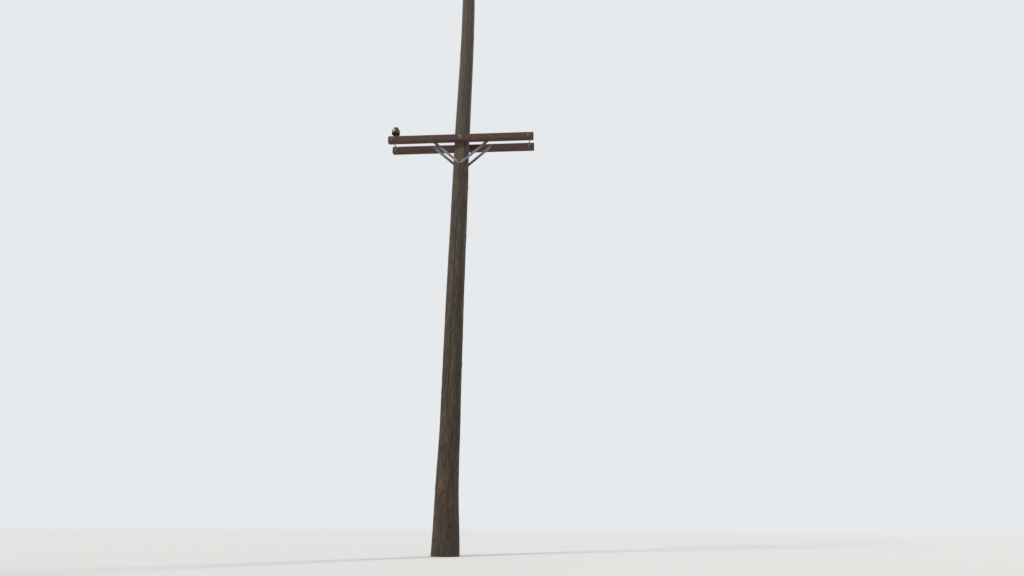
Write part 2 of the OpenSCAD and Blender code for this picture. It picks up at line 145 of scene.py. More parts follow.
def sweep(height):
    """How far the log bows sideways: a squared sine over each crook."""
    bow = 0.0
    for low, high, most in crooks:
        bow = bow + most * np.sin(np.pi * np.clip((height - low) / (high - low), 0, 1)) ** 2
    return bow


def seated(height):
    """1 along the two stretches where steel and arms bear on the pole, 0 away from them."""
    mask = 0.0
    for low, high in (double_seat, top_seat):
        below = ramp(height, low - rough_margin, low - calm_margin)
        above = ramp(height, high + calm_margin, high + rough_margin)
        mask = np.maximum(mask, below * (1 - above))
    return mask


climbed_low, climbed_high, climbed_share = 4.5, 8.0, 0.3
foot_low, foot_high, seat_calm = 0.02, 0.3, 0.9


def climbed(height):
    """How much climbing spurs have torn the skin: fully from the foot to climbed_low, less and less up to
    climbed_high, and by climbed_share above it. Next to nothing is torn where parts bear."""
    torn = climbed_share + (1 - climbed_share) * (1 - ramp(height, climbed_low, climbed_high))
    return torn * (1 - seat_calm * seated(height)) * ramp(height, foot_low, foot_high)


first_whorl, whorls, knots_a_whorl = 0.4, 17, 3
knot_count = whorls * knots_a_whorl
knot_random = np.random.default_rng(5)
whorl_z = first_whorl + np.cumsum(knot_random.uniform(0.42, 0.85, whorls))
knot_z = np.repeat(whorl_z, knots_a_whorl) + knot_random.uniform(-0.07, 0.07, knot_count)
knot_angle = knot_random.uniform(0, 2 * np.pi, knot_count)
knot_size = knot_random.uniform(0.013, 0.026, knot_count)


def knots(angle, height):
    """1 at the middle of each knot, fading as a bell curve that is half as tall again as it is wide."""
    found = np.zeros(np.broadcast(angle, height).shape)
    for z, a, size in zip(knot_z, knot_angle, knot_size):
        across = turn_between(angle, a) * taper(z) / size
        along = (height - z) / (1.5 * size)
        found = np.maximum(found, np.exp(-across ** 2 - along ** 2))
    return found


# Each layer of relief is its height, its cells round the log and along it, and its seed
relief_layers = ((0.0024, 3, 7, 21), (0.0011, 22, 26, 22), (0.0007, 60, 60, 23))
torn_layer = (67, 330, 24)
torn_height, torn_gap, gap_share = 0.0008, 0.0026, 0.3
knot_rise = 0.0045
root_lobe, lobe_top, lobes = 0.010, 0.95, 3


def log_radius(angle, height):
    """Distance from the log's heart to its skin, for an angle counted along the grain. On the frame's taper
    come slow lobes, flutes, the skin that spurs have torn, with gaps where its noise is near 0, the knots'
    mounds and three low buttresses where the roots began. Nothing stands out where parts bear."""
    turn, share = angle / (2 * np.pi), height / pole_top
    relief = sum(rise * smooth_noise(turn, share, *cells) for rise, *cells in relief_layers)
    torn = smooth_noise(turn, share, *torn_layer)
    gaps = np.maximum(gap_share - np.abs(torn), 0)
    relief = relief + climbed(height) * (torn_height * torn - torn_gap * gaps)
    relief = relief + knot_rise * knots(angle, height)
    lobe = np.maximum(1 - height / lobe_top, 0) ** 1.5 * (0.5 - 0.5 * np.cos(lobes * angle))
    relief = relief + root_lobe * lobe
    return taper(height) + relief - np.maximum(relief, 0) * seated(height)


def open_checks(random, places, lines, checks, starts, lengths, strengths):
    """How far each line of checks stands open at each place, from 0 to 1, and a last column of 0 for all that
    lies beside them. A check opens as a sine over its length to the power 0.6, and the widest one counts."""
    opened = np.zeros((len(places), lines + 1))
    for k in range(lines):
        start, length, strength = (random.uniform(*ends, checks) for ends in (starts, lengths, strengths))
        along = np.clip((places[:, None] - start) / length, 0, 1)
        opened[:, k] = (strength * np.sin(np.pi * along) ** 0.6).max(1)
    return opened


# Columns of points run up the log along its grain. Each line of checks has five of them, close together: a
# bottom, two edges and two raised lips. Three of the lines are the wide, deep ones that most logs have.
check_random = np.random.default_rng(11)
check_lines, checks_a_line = 14, 7
check_half_width = np.array([1.3, 1.6, 4.2, 1.2, 1.8, 1.4, 3.0, 1.5, 1.2, 1.7, 5.0, 1.4, 1.6, 1.2, 0]) / 1000
check_depth = check_half_width * 7
check_steps = np.arange(-2.0, 3.0)
lip_rise, shut_share = 0.0006, 0.25
plain_columns, usual_radius, wander_turn = 88, 0.15, 0.006
line_angle = np.arange(check_lines) + check_random.uniform(-0.3, 0.3, check_lines)
line_angle = line_angle * 2 * np.pi / check_lines
line_room = math.radians(1.5) + 2 * check_half_width[:-1] / usual_radius
plain_angle = np.arange(plain_columns) * 2 * np.pi / plain_columns
plain_angle = plain_angle[(np.abs(turn_between(plain_angle[:, None], line_angle)) > line_room).all(1)]
column_line = np.concatenate([np.full(len(plain_angle), -1), np.repeat(np.arange(check_lines), 5)])
column_step = np.concatenate([np.zeros(len(plain_angle)), np.tile(check_steps, check_lines)])
column_angle = np.concatenate([plain_angle, np.repeat(line_angle, 5)]) % (2 * np.pi)
order = np.argsort(column_angle + column_step * 0.002)
column_line, column_step, column_angle = column_line[order], column_step[order], column_angle[order]

# Rows of points stand closer together where the skin is torn, and a row lies on each side of a seat's edge
close_gap, close_top, upper_rows = 0.0165, 7.2, 160
crown_bevel, edge_gap = 0.006, 1e-4
seat_edges = np.array([*double_seat, *top_seat])
row_z = [np.arange(0, close_top, close_gap), np.linspace(close_top, pole_top - crown_bevel, upper_rows)]
row_z = np.sort(np.concatenate([*row_z, seat_edges - edge_gap, seat_edges + edge_gap]))
check_ends = ((-0.5, pole_top), (0.35, 2.4), (0.35, 1.0))
opened = open_checks(check_random, row_z, check_lines, checks_a_line, *check_ends)[:, column_line]

z = np.broadcast_to(row_z[:, None], opened.shape)
radius = log_radius(column_angle[None, :], z)
in_line = column_line >= 0
bottom = in_line & (column_step == 0)
lip = in_line & (np.abs(column_step) == 2)
radius = radius - check_depth[column_line] * opened * bottom + lip_rise * opened * lip * (1 - seated(z))
spread = check_half_width[column_line] * column_step * (shut_share + (1 - shut_share) * opened) / radius
wander = wander_turn * smooth_noise(column_angle[None, :] / (2 * np.pi), z / pole_top, 5, 30, 25)
world_angle = column_angle + spread + grain_twist * z + wander
log_x = radius * np.cos(world_angle)
log_y = radius * np.sin(world_angle)
in_double = (z > double_seat[0]) & (z < double_seat[1])
in_top = (z > top_seat[0]) & (z < top_seat[1])
sawn = (in_double & (np.abs(log_y) > seat_y)) | (in_top & (log_y < -top_seat_y))
log_y = np.where(in_double, np.clip(log_y, -seat_y, seat_y), log_y)
log_y = np.where(in_top, np.maximum(log_y, -top_seat_y), log_y)
log_x = log_x + sweep(z)

# The crown is the sawn top: smaller and smaller rings inside the bevel, split where a line of checks ends
crown_split, crown_rough = 0.005, 0.0012
crown_share = np.array([1.0, 0.86, 0.7, 0.54, 0.38, 0.22, 0.08])[:, None]
rim_scale = 1 - crown_bevel / np.hypot(log_x[-1], log_y[-1])
crown_x = log_x[-1] * rim_scale * crown_share
crown_y = log_y[-1] * rim_scale * crown_share
crown_open = (opened[-1] * 0.7 + 0.3) * bottom * (crown_share > 0.3) * (crown_share < 0.99)
crown_noise = smooth_noise(column_angle / (2 * np.pi), crown_share, 12, 4, 26)
crown_z = pole_top - crown_split * crown_open - crown_rough * (1 + crown_noise)

# Water drips from the steel, dark below it: a bell curve across, fading by an exponential downwards
drip_width, drip_length, drip_above = 0.17, 0.8, 0.02
drips = np.zeros(z.shape)
drip_starts = ((-90, brace_bolt_z), (90, brace_bolt_z), (-90, top_screw_z), (90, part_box("top_arm")[0].z))
for drip_angle, drip_z in drip_starts:
    aside = turn_between(world_angle, math.radians(drip_angle)) / drip_width
    drips = drips + np.exp(-aside ** 2 - np.maximum(drip_z - z, 0) / drip_length) * (z < drip_z + drip_above)

# Five values ride on the points for the finish. Each pair is one for the sides and one for the crown.
log_points = np.concatenate([joined(log_x, log_y, z), joined(crown_x, crown_y, crown_z)])
none = np.zeros(crown_x.shape)
log_values = {
    # check is painted shade: it paints each check's bottom near black, its edges and lips a little, and the
    # crown's splits
    "check": (opened * bottom + 0.25 * opened * in_line, crown_open),
    "knot": (knots(column_angle[None, :], z), none),
    "sawn": (sawn, none),
    "end_grain": (np.zeros(z.shape), none + 1),
    "drips": (drips, none),
}
log_values = {key: np.concatenate(pair) for key, pair in log_values.items()}


def grid_cells(rings, around):
    """The corners of every cell of a grid of points, counted ring by ring. Each ring closes on itself and is
    anticlockwise as seen from the last ring, so that the faces point outwards."""
    r = np.arange(rings - 1)[:, None] * around
    c = np.arange(around)
    d = (c + 1) % around
    return joined(r + c, r + d, r + around + d, r + around + c).reshape(-1, 4)


def closed_skin(points, values):
    """Points, faces and values of a closed skin over rings of points, with a fan of faces over each end."""
    rings, around = points.shape[:2]
    c = np.arange(around)
    d = (c + 1) % around
    first, top = rings * around, (rings - 1) * around
    fans = [joined(first, d, c), joined(first + 1, top + c, top + d)]
    skin = np.concatenate([points.reshape(-1, 3), points[[0, -1]].mean(1)])
    named = {key: np.concatenate([v.ravel(), v[[0, -1]].mean(1)]) for key, v in values.items()}
    return skin, [grid_cells(rings, around), *fans], named


def add_piece(name, skins, material, stands_for=(), *, sharp):
    """A finished piece that rides on the frame, from one or more skins. Edges that turn by more than sharp
    degrees stay crisp."""
    mesh = bpy.data.meshes.new(name)
    offsets = np.cumsum([0] + [len(points) for points, faces, values in skins])
    points = np.concatenate([points for points, faces, values in skins])
    faces = [f + offset for offset, (p, group, v) in zip(offsets, skins) for f in group]
    corners = np.concatenate([f.ravel() for f in faces])
    sizes = np.concatenate([np.full(len(f), f.shape[1]) for f in faces])
    mesh.vertices.add(len(points))
    mesh.vertices.foreach_set("co", points.astype(np.float32).ravel())
    mesh.loops.add(len(corners))
    mesh.loops.foreach_set("vertex_index", corners.astype(np.int32))
    mesh.polygons.add(len(sizes))
    mesh.polygons.foreach_set("loop_start", (np.cumsum(sizes) - sizes).astype(np.int32))
    mesh.polygons.foreach_set("use_smooth", np.ones(len(sizes), bool))
    for key in skins[0][2]:
        named = np.concatenate([values[key] for p, f, values in skins])
        mesh.attributes.new(key, "FLOAT", "POINT").data.foreach_set("value", named.astype(np.float32))
    mesh.update(calc_edges=True)
    mesh.set_sharp_from_angle(angle=math.radians(sharp))
    mesh.materials.append(material)
    piece = bpy.data.objects.new(name, mesh)
    bpy.context.scene.collection.objects.link(piece)
    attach(piece, "root")
    if stands_for:
        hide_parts(*stands_for)


# The pole's finish
# Bare wood, silvered by the weather higher up and browner where hands and boots rub it. Climbing spurs have
# broken its skin into bundles of fibre, and water has run dark lines down from the steel. All its tones are
# painted darker than the bare wood's own, as painted shade, and its checks and the gaps between its fibres
# are painted dark as shade.

class Signal:
    """A shader node's output. Arithmetic on it adds Math nodes, so a formula reads as Python."""

    def __init__(self, nodes, socket):
        self.nodes = nodes
        self.socket = socket

    def math(self, operation, first, second):
        """The output of a Math node on two values or signals."""
        return self.nodes.node("Math", {"operation": operation}, {0: first, 1: second})

    def __add__(self, other):
        return self.math("ADD", self, other)

    def __sub__(self, other):
        return self.math("SUBTRACT", self, other)

    def __rsub__(self, other):
        return self.math("SUBTRACT", other, self)

    def __mul__(self, other):
        return self.math("MULTIPLY", self, other)

    __radd__, __rmul__ = __add__, __mul__


class Nodes:
    """A tree of shader nodes."""

    def __init__(self, tree):
        self.tree = tree

    def node(self, kind, settings=None, sockets=None, output=0):
        """Adds one shader node: its settings first, then the values or links of its sockets."""
        made = self.tree.nodes.new("ShaderNode" + kind)
        for key, value in (settings or {}).items():
            setattr(made, key, value)
        self.fill(made, sockets or {})
        return Signal(self, made.outputs[output])

    def fill(self, node, sockets):
        """Links each socket that is given a signal, and sets the others to their values."""
        for key, value in sockets.items():
            if isinstance(value, Signal):
                self.tree.links.new(value.socket, node.inputs[key])
            else:
                node.inputs[key].default_value = value


class Finish(Nodes):
    """A procedural material on Object coordinates."""

    def __init__(self, name):
        self.material = bpy.data.materials.new(name)
        self.material.use_nodes = True
        super().__init__(self.material.node_tree)
        self.shader = self.tree.nodes["Principled BSDF"]
        self.place = self.node("TexCoord", output="Object")

    def stretched(self, x, y, z, place):
        """The place times a scale along each axis, which sets how many waves a pattern has to a metre."""
        return self.node("Mapping", None, {"Vector": place, "Scale": (x, y, z)})

    def noise(self, waves, detail, roughness=0.55, place=None, distortion=0.0):
        """Noise from 0 to 1, with so many waves to a metre along each axis of the place."""
        place = self.stretched(*waves, place or self.place)
        return self.node("TexNoise", None, {"Vector": place, "Scale": 1.0, "Detail": detail,
                                            "Roughness": roughness, "Distortion": distortion})

    def cell_tone(self, place, scale=1.0):
        """A tone from 0 to 1 for each Voronoi cell."""
        cells = self.node("TexVoronoi", {"feature": "F1"}, {"Vector": place, "Scale": scale}, output="Color")
        return self.node("SeparateColor", None, {"Color": cells}, output="Red")

    def rings(self, place, direction, scale, distortion, detail, detail_scale):
        """Growth rings round an axis, as a saw wave that climbs from 0 to 1 in each."""
        settings = {"wave_type": "RINGS", "rings_direction": direction, "wave_profile": "SAW"}
        return self.node("TexWave", settings, {"Vector": place, "Scale": scale, "Distortion": distortion,
                                               "Detail": detail, "Detail Scale": detail_scale})

    def facing_up(self):
        """How far the surface faces up, from -1 to 1."""
        normal = self.node("NewGeometry", output="Normal")
        return self.node("SeparateXYZ", None, {"Vector": normal}, output="Z")

    def value(self, name):
        """A value that the mesh carries at its points."""
        return self.node("Attribute", {"attribute_name": name}, output="Fac")

    def step(self, value, low, high):
        """A smooth step: 0 below low and 1 above high, or the other way round where low is the larger."""
        sockets = {"Value": value, "From Min": low, "From Max": high}
        return self.node("MapRange", {"interpolation_type": "SMOOTHSTEP"}, sockets)

    def mix(self, share, first, second):
        """The first colour where share is 0, the second where it is 1."""
        first, second = (c if isinstance(c, Signal) else (*c, 1.0) for c in (first, second))
        return self.node("Mix", {"data_type": "RGBA"}, {0: share, 6: first, 7: second}, output=2)

    def stained(self, colour, *stains):
        """A colour under stains, one on another. Each is (value, low, high, share, tint): a smooth step from
        low to high brings in that share of the tint."""
        for value, low, high, share, tint in stains:
            colour = self.mix(self.step(value, low, high) * share, colour, tint)
        return colour

    def bump(self, height, distance):
        """The normal of a surface that is raised by a height from 0 to 1 times a distance."""
        return self.node("Bump", None, {"Height": height, "Distance": distance})

    def shade(self, **sockets):
        """Sets the shader's own sockets, such as base_color, and returns the finished material."""
        self.fill(self.shader, {key.replace("_", " ").title(): value for key, value in sockets.items()})
        return self.material


def along_grain(wood):
    """Object coordinates turned back round the pole's heart, so that a pattern follows the spiral grain."""
    height = wood.node("SeparateXYZ", None, {"Vector": wood.place}, output="Z")
    sockets = {"Vector": wood.place, "Angle": height * -grain_twist}
    return wood.node("VectorRotate", {"rotation_type": "Z_AXIS"}, sockets), height


def bundles(wood, grain, across, along, wander):
    """Bundles of fibre, so many to a metre across the grain and along it: the tone of each from 0 to 1, and
    the distance from its edge, which is 0 in the gap beside it. wander bends their outlines."""
    place = wood.stretched(across, across, along, grain)
    sway = wood.node("TexNoise", None, {"Vector": place, "Scale": 1.1, "Detail": 2.0}, output="Color")
    place = wood.node("VectorMath", {"operation": "MULTIPLY_ADD"}, {0: sway, 1: (wander,) * 3, 2: place})
    sockets = {"Vector": place, "Scale": 1.0}
    edge = wood.node("TexVoronoi", {"feature": "DISTANCE_TO_EDGE"}, sockets, output="Distance")
    return wood.cell_tone(place), edge


def pole_finish():
    """Grey skin, browner where it is rubbed, under streaks, patches, bundles of fibre and hairs, with fresh
    wood at the seats, rings on the end grain, and dark knots, drips and foot. Its tones are darker than the
    wood's own as painted shade, and checks and the gaps between bundles are painted dark as shade. Gaps sink
    in."""
    wood = Finish("weathered_pole")
    grain, height = along_grain(wood)
    patches = wood.noise((5, 5, 0.9), 4.0, 0.6, grain)
    streaks = wood.noise((44, 44, 1.4), 4.0, 0.7, grain, distortion=0.3)
    hairs = wood.noise((300, 300, 9.0), 3.0, 0.7, grain)
    wide_tone, wide_edge = bundles(wood, grain, 60, 3.2, 0.8)
    fine_tone, fine_edge = bundles(wood, grain, 200, 13, 0.9)
    rubbed = wood.step(height + patches * 3.0 - 1.5, 6.4, 0.8)
    rough = wood.step(height + patches * 2.0, 10.0, 3.0) * (1 - wood.value("sawn"))
    broken = wood.step(streaks + hairs * 0.5, 0.86, 0.62)
    drip = wood.value("drips") * wood.step(streaks, 0.3, 0.6)
    tone = wood.value("tone")
    on_end = wood.value("end_grain")

    # Painted shade: the grey and the brown, and the tones over them, are darker than the bare wood's own
    colour = wood.mix(rubbed, (0.096, 0.079, 0.060), (0.104, 0.069, 0.042))
    colour = wood.stained(
        colour,
        (streaks, 0.50, 0.74, 0.8, (0.202, 0.149, 0.092)),
        (streaks, 0.50, 0.28, 0.8, (0.052, 0.038, 0.028)),
        (patches, 0.52, 0.74, 0.6, (0.060, 0.046, 0.034)),
        (wide_tone, 0.6, 1.0, 0.2 + rough * 0.25, (0.058, 0.043, 0.031)),
        (wide_tone, 0.4, 0.0, 0.15 + rough * 0.25, (0.186, 0.136, 0.080)),
        (fine_tone, 0.55, 1.0, rough * 0.55, (0.048, 0.035, 0.025)),
        (fine_tone, 0.35, 0.0, rough * 0.35, (0.212, 0.150, 0.084)),
        # Painted shade: the gaps between bundles of fibre are painted dark, where the bump also sinks them
        (wide_edge, 0.09, 0.015, 0.45 + rough * 0.3, (0.024, 0.018, 0.013)),
        (fine_edge, 0.18, 0.02, (0.2 + rough * 0.6) * broken, (0.026, 0.019, 0.014)),
        (hairs, 0.5, 0.3, 0.6, (0.034, 0.026, 0.019)),
        (tone, 0.0, 1.0, 0.75, (0.275, 0.188, 0.102)),
        (tone, 0.0, -1.0, 0.75, (0.040, 0.030, 0.022)),
    )
    rings = wood.rings(wood.place, "Z", 95.0, 2.0, 2.0, 0.2)
    end_grain = wood.mix(rings, (0.090, 0.075, 0.059), (0.165, 0.135, 0.102))
    end_grain = wood.stained(end_grain, (streaks + hairs * 0.4, 0.62, 0.92, 0.6, (0.058, 0.047, 0.037)))
    fresh = wood.mix(streaks, (0.08, 0.055, 0.036), (0.16, 0.112, 0.07))
    colour = wood.mix(on_end, colour, end_grain)
    colour = wood.mix(wood.value("sawn") * 0.7, colour, fresh)
    colour = wood.stained(
        colour,
        (wood.value("knot"), 0.3, 0.75, 0.8, (0.055, 0.032, 0.02)),
        (drip, 0.1, 0.8, 0.75, (0.042, 0.027, 0.018)),
        (height + streaks * 0.35, 0.42, 0.10, 0.7, (0.045, 0.034, 0.024)),
        # Painted shade: checks and the crown's splits are painted near black
        (wood.value("check"), 0.15, 0.6, 1.0, (0.012, 0.009, 0.007)),
    )

    fibres = wood.step(fine_edge, 0.0, 0.3) + fine_tone * 0.8
    relief = wood.step(wide_edge, 0.0, 0.12) * 0.5 + fibres * (0.25 + rough * 0.75)
    relief = relief + streaks * 0.5 + hairs * 0.35
    relief = relief * (1 - on_end) + (rings * 0.12 + hairs * 0.3) * on_end
    return wood.shade(base_color=colour, roughness=0.78 + streaks * 0.2, normal=wood.bump(relief, 0.0035))


log_finish = pole_finish()
log_skin = closed_skin(log_points, log_values)
add_piece("weathered_pole", [log_skin], log_finish, ["pole_shaft"], sharp=50)


# Torn fibre
# Climbers' spurs have torn the skin into short ridges of fibre that lie along the grain, and into slivers.
# Each sliver stays rooted at one end and curls outwards at the other, most of them hanging down.

def on_skin(along_angle, height, out, aside):
    """Points a little out from the log's skin and to one side of an angle counted along the grain."""
    reach = log_radius(along_angle, height) + out
    turned_angle = along_angle + grain_twist * height + aside / reach
    return joined(reach * np.cos(turned_angle) + sweep(height), reach * np.sin(turned_angle), height)


tries_a_place, torn_top = 8, 0.985


def torn_places(count, random):
    """Places on the skin, as angles along the grain and heights. The chance that a random place is kept is
    how torn its height is, times the sum of a coarse and a finer noise, so that they lie in long patches."""
    tries = random.uniform(0, 1, (tries_a_place * count, 3)) * np.array([2 * np.pi, pole_top * torn_top, 1])
    turn, share = tries[:, 0] / (2 * np.pi), tries[:, 1] / pole_top
    patch = 0.45 + 1.5 * smooth_noise(turn, share, 9, 34, 27) + 0.8 * smooth_noise(turn, share, 24, 120, 28)
    return tries[tries[:, 2] < climbed(tries[:, 1]) * patch][:count, :2].T


def scattered(points, face_groups, tones):
    """The skin of many small solids of one kind, from the corners of each, the corner numbers of its faces in
    groups of one size, and the tone of each corner."""
    first = np.arange(len(points))[:, None, None] * points.shape[1]
    faces = [(first + np.array(group)).reshape(-1, len(group[0])) for group in face_groups]
    return points.reshape(-1, 3), faces, {"tone": (tones + np.zeros(points.shape[:2])).ravel()}


# A ridge is a low pyramid: a tip above and below, a side left and right, and a crest between them
ridges_wanted, tip_depth, side_depth = 26000, 0.0007, 0.0010
ridge_random = np.random.default_rng(37)
ridge_angle, ridge_z = torn_places(ridges_wanted, ridge_random)
ridges = len(ridge_z)
half_length = np.clip(ridge_random.lognormal(-3.95, 0.62, ridges), 0.006, 0.11)
half_width = ridge_random.uniform(0.0012, 0.0032, ridges) + half_length * 0.025
crest = ridge_random.uniform(0.0005, 0.0018, ridges)
crest_z = ridge_z + ridge_random.uniform(-0.6, 0.6, ridges) * half_length
slant = ridge_random.uniform(-0.10, 0.10, ridges) * half_length
crest_aside = half_width * ridge_random.uniform(-0.5, 0.5, ridges)
ridge_points = np.stack([
    on_skin(ridge_angle, np.maximum(ridge_z - half_length, 0.001), -tip_depth, -slant),
    on_skin(ridge_angle, ridge_z, -side_depth, half_width),
    on_skin(ridge_angle, ridge_z + half_length, -tip_depth, slant),
    on_skin(ridge_angle, ridge_z, -side_depth, -half_width),
    on_skin(ridge_angle, np.maximum(crest_z, 0.002), crest, crest_aside),
], 1)
ridge_faces = [[[0, 1, 4], [1, 2, 4], [2, 3, 4], [3, 0, 4], [0, 3, 1], [1, 3, 2]]]
ridge_tone = np.clip(ridge_random.normal(-0.05, 0.22, ridges), -0.8, 0.8)[:, None] + [0, 0, 0, 0, 0.25]
ridge_skin = scattered(ridge_points, ridge_faces, ridge_tone)
add_piece("torn_ridges", [ridge_skin], log_finish, sharp=75)

# A sliver is a three-sided spike with a bend in it: three corners at its root, three at its bend, and its tip
slivers_wanted, root_depth, bend_share, hanging = 9000, 0.0009, 0.55, 0.68
sliver_random = np.random.default_rng(31)
root_angle, root_z = torn_places(slivers_wanted, sliver_random)
slivers = len(root_z)
length = np.clip(sliver_random.lognormal(-3.75, 0.55, slivers), 0.008, 0.11)
half_width = sliver_random.uniform(0.0008, 0.0020, slivers) + length * 0.010
thickness = sliver_random.uniform(0.0005, 0.0014, slivers)
curl = length * sliver_random.uniform(0.0, 0.36, slivers) ** 2 + 0.0012
drift = sliver_random.uniform(-0.08, 0.08, slivers) * length
way = np.where(sliver_random.uniform(0, 1, slivers) < hanging, -1.0, 1.0)
bend_z, tip_z = root_z + way * length * bend_share, root_z + way * length
bend_out, bend_drift, bend_width = curl * 0.3, drift * 0.4, way * half_width * 0.8
sliver_points = np.stack([
    on_skin(root_angle, root_z, -root_depth, -way * half_width),
    on_skin(root_angle, root_z, -root_depth, way * half_width),
    on_skin(root_angle, root_z, thickness * 0.4, 0.0),
    on_skin(root_angle, bend_z, bend_out, bend_drift - bend_width),
    on_skin(root_angle, bend_z, bend_out, bend_drift + bend_width),
    on_skin(root_angle, bend_z, bend_out + thickness, bend_drift),
    on_skin(root_angle, tip_z, curl, drift),
], 1)
sliver_faces = [[[3, 4, 1, 0], [4, 5, 2, 1], [5, 3, 0, 2]], [[6, 4, 3], [6, 5, 4], [6, 3, 5], [1, 2, 0]]]
sliver_tone = sliver_random.uniform(-0.6, 0.35, slivers) + (sliver_random.uniform(0, 1, slivers) < 0.08) * 0.6
sliver_skin = scattered(sliver_points, sliver_faces, sliver_tone[:, None])
add_piece("splinters", [sliver_skin], log_finish, sharp=60)


# Crossarms
# Three sawn timbers of treated fir, reddish brown, with bevelled top edges and drilled pin holes. The
# weather has opened checks along their faces, chipped their edges and greyed their tops. Their browns are
# painted darker than the timber's own, as painted shade, and their checks and pin holes near black as shade.

arm_bevel, corner_wear, corner_chip, bevel_chip = 0.010, 0.00125, 0.004, 0.002
arm_waves, arm_grain, check_stray = 0.0005, 0.0003, 0.004
end_wear, end_row, end_rough, end_sunk = 0.0018, 0.0015, 0.0008, 0.0006
arm_lines, arm_checks, arm_check_ends = 3, 4, ((-0.1, 0.95), (0.12, 0.5), (0.3, 1.0))
arm_check_half_width, arm_check_depth, arm_lip_rise = 0.0013, 0.009, 0.0003
long_gap, side_gap, top_gap = 0.010, 0.008, 0.009
zone_steps = (0.013, 0.018, 0.024)
hole_zone = zone_steps[-1]


def placed_between(low, high, gap, kept):
    """Places from low to high about a gap apart, with the kept ones among them and no others near those."""
    plain = np.linspace(low, high, max(2, int(round((high - low) / gap)) + 1))
    far = (np.abs(plain[:, None] - kept) > 0.55 * gap).all(1)
    far[[0, -1]] = True
    return np.unique(np.round(np.concatenate([plain[far], kept]), 6))


def hole_places(radius):
    """Places across a hole, and across the zone round it where the grid is bent to a circle."""
    half = np.array([0, radius / 2, radius, *zone_steps])
    return np.unique(np.concatenate([-half, half]))


def section_run(start, end, places, outward, line=-1, centre=0.0):
    """Rows of an arm's section along a straight run, at places counted from its start. A row is y and z, the
    outward direction, and the line of checks and the step across it, which are -1 and 0 unless the place lies
    on one of the line's five columns, to a tenth of a micrometre."""
    places = np.array(places)[:, None]
    step = np.round((places - centre) / arm_check_half_width)
    off_column = np.abs(centre + step * arm_check_half_width - places)
    in_line = (line >= 0) & (np.abs(step) <= 2) & (off_column < 1e-7)
    point = np.array(start) + (np.array(end) - start) * places / math.dist(start, end)
    outward = np.tile(outward, (len(places), 1))
    return np.hstack([point, outward, np.where(in_line, line, -1), np.where(in_line, step, 0)])


def arm_section(half_d, half_h, hole_radius, check_shares):
    """The rows of an arm's section, anticlockwise from its right end: the underside, the back, a bevel, the
    top, a bevel and the front. The back, the front and the top have a line of checks each."""
    flat, tall, shoulder = half_d - arm_bevel, 2 * half_h - arm_bevel, half_h - arm_bevel
    back, front, top = np.array(check_shares) * 2 * (half_h, half_h, flat)
    columns = check_steps * arm_check_half_width
    holes = hole_places(hole_radius)
    under = placed_between(0, 2 * half_d, top_gap, holes + half_d)[1:-1]
    over = placed_between(0, 2 * flat, top_gap, np.concatenate([holes + flat, top + columns]))
    behind = placed_between(0, tall, side_gap, back + columns)
    before = placed_between(0, tall, side_gap, front + columns)
    on_bevel = [0.7 * arm_bevel]
    return np.concatenate([
        section_run((-half_d, -half_h), (half_d, -half_h), under, (0, -1)),
        section_run((half_d, -half_h), (half_d, shoulder), behind, (1, 0), 0, back),
        section_run((half_d, shoulder), (flat, half_h), on_bevel, (0.71, 0.71)),
        section_run((flat, half_h), (-flat, half_h), over, (0, 1), 2, top),
        section_run((-flat, half_h), (-half_d, shoulder), on_bevel, (-0.71, 0.71)),
        section_run((-half_d, shoulder), (-half_d, -half_h), before, (-1, 0), 1, front),
    ])


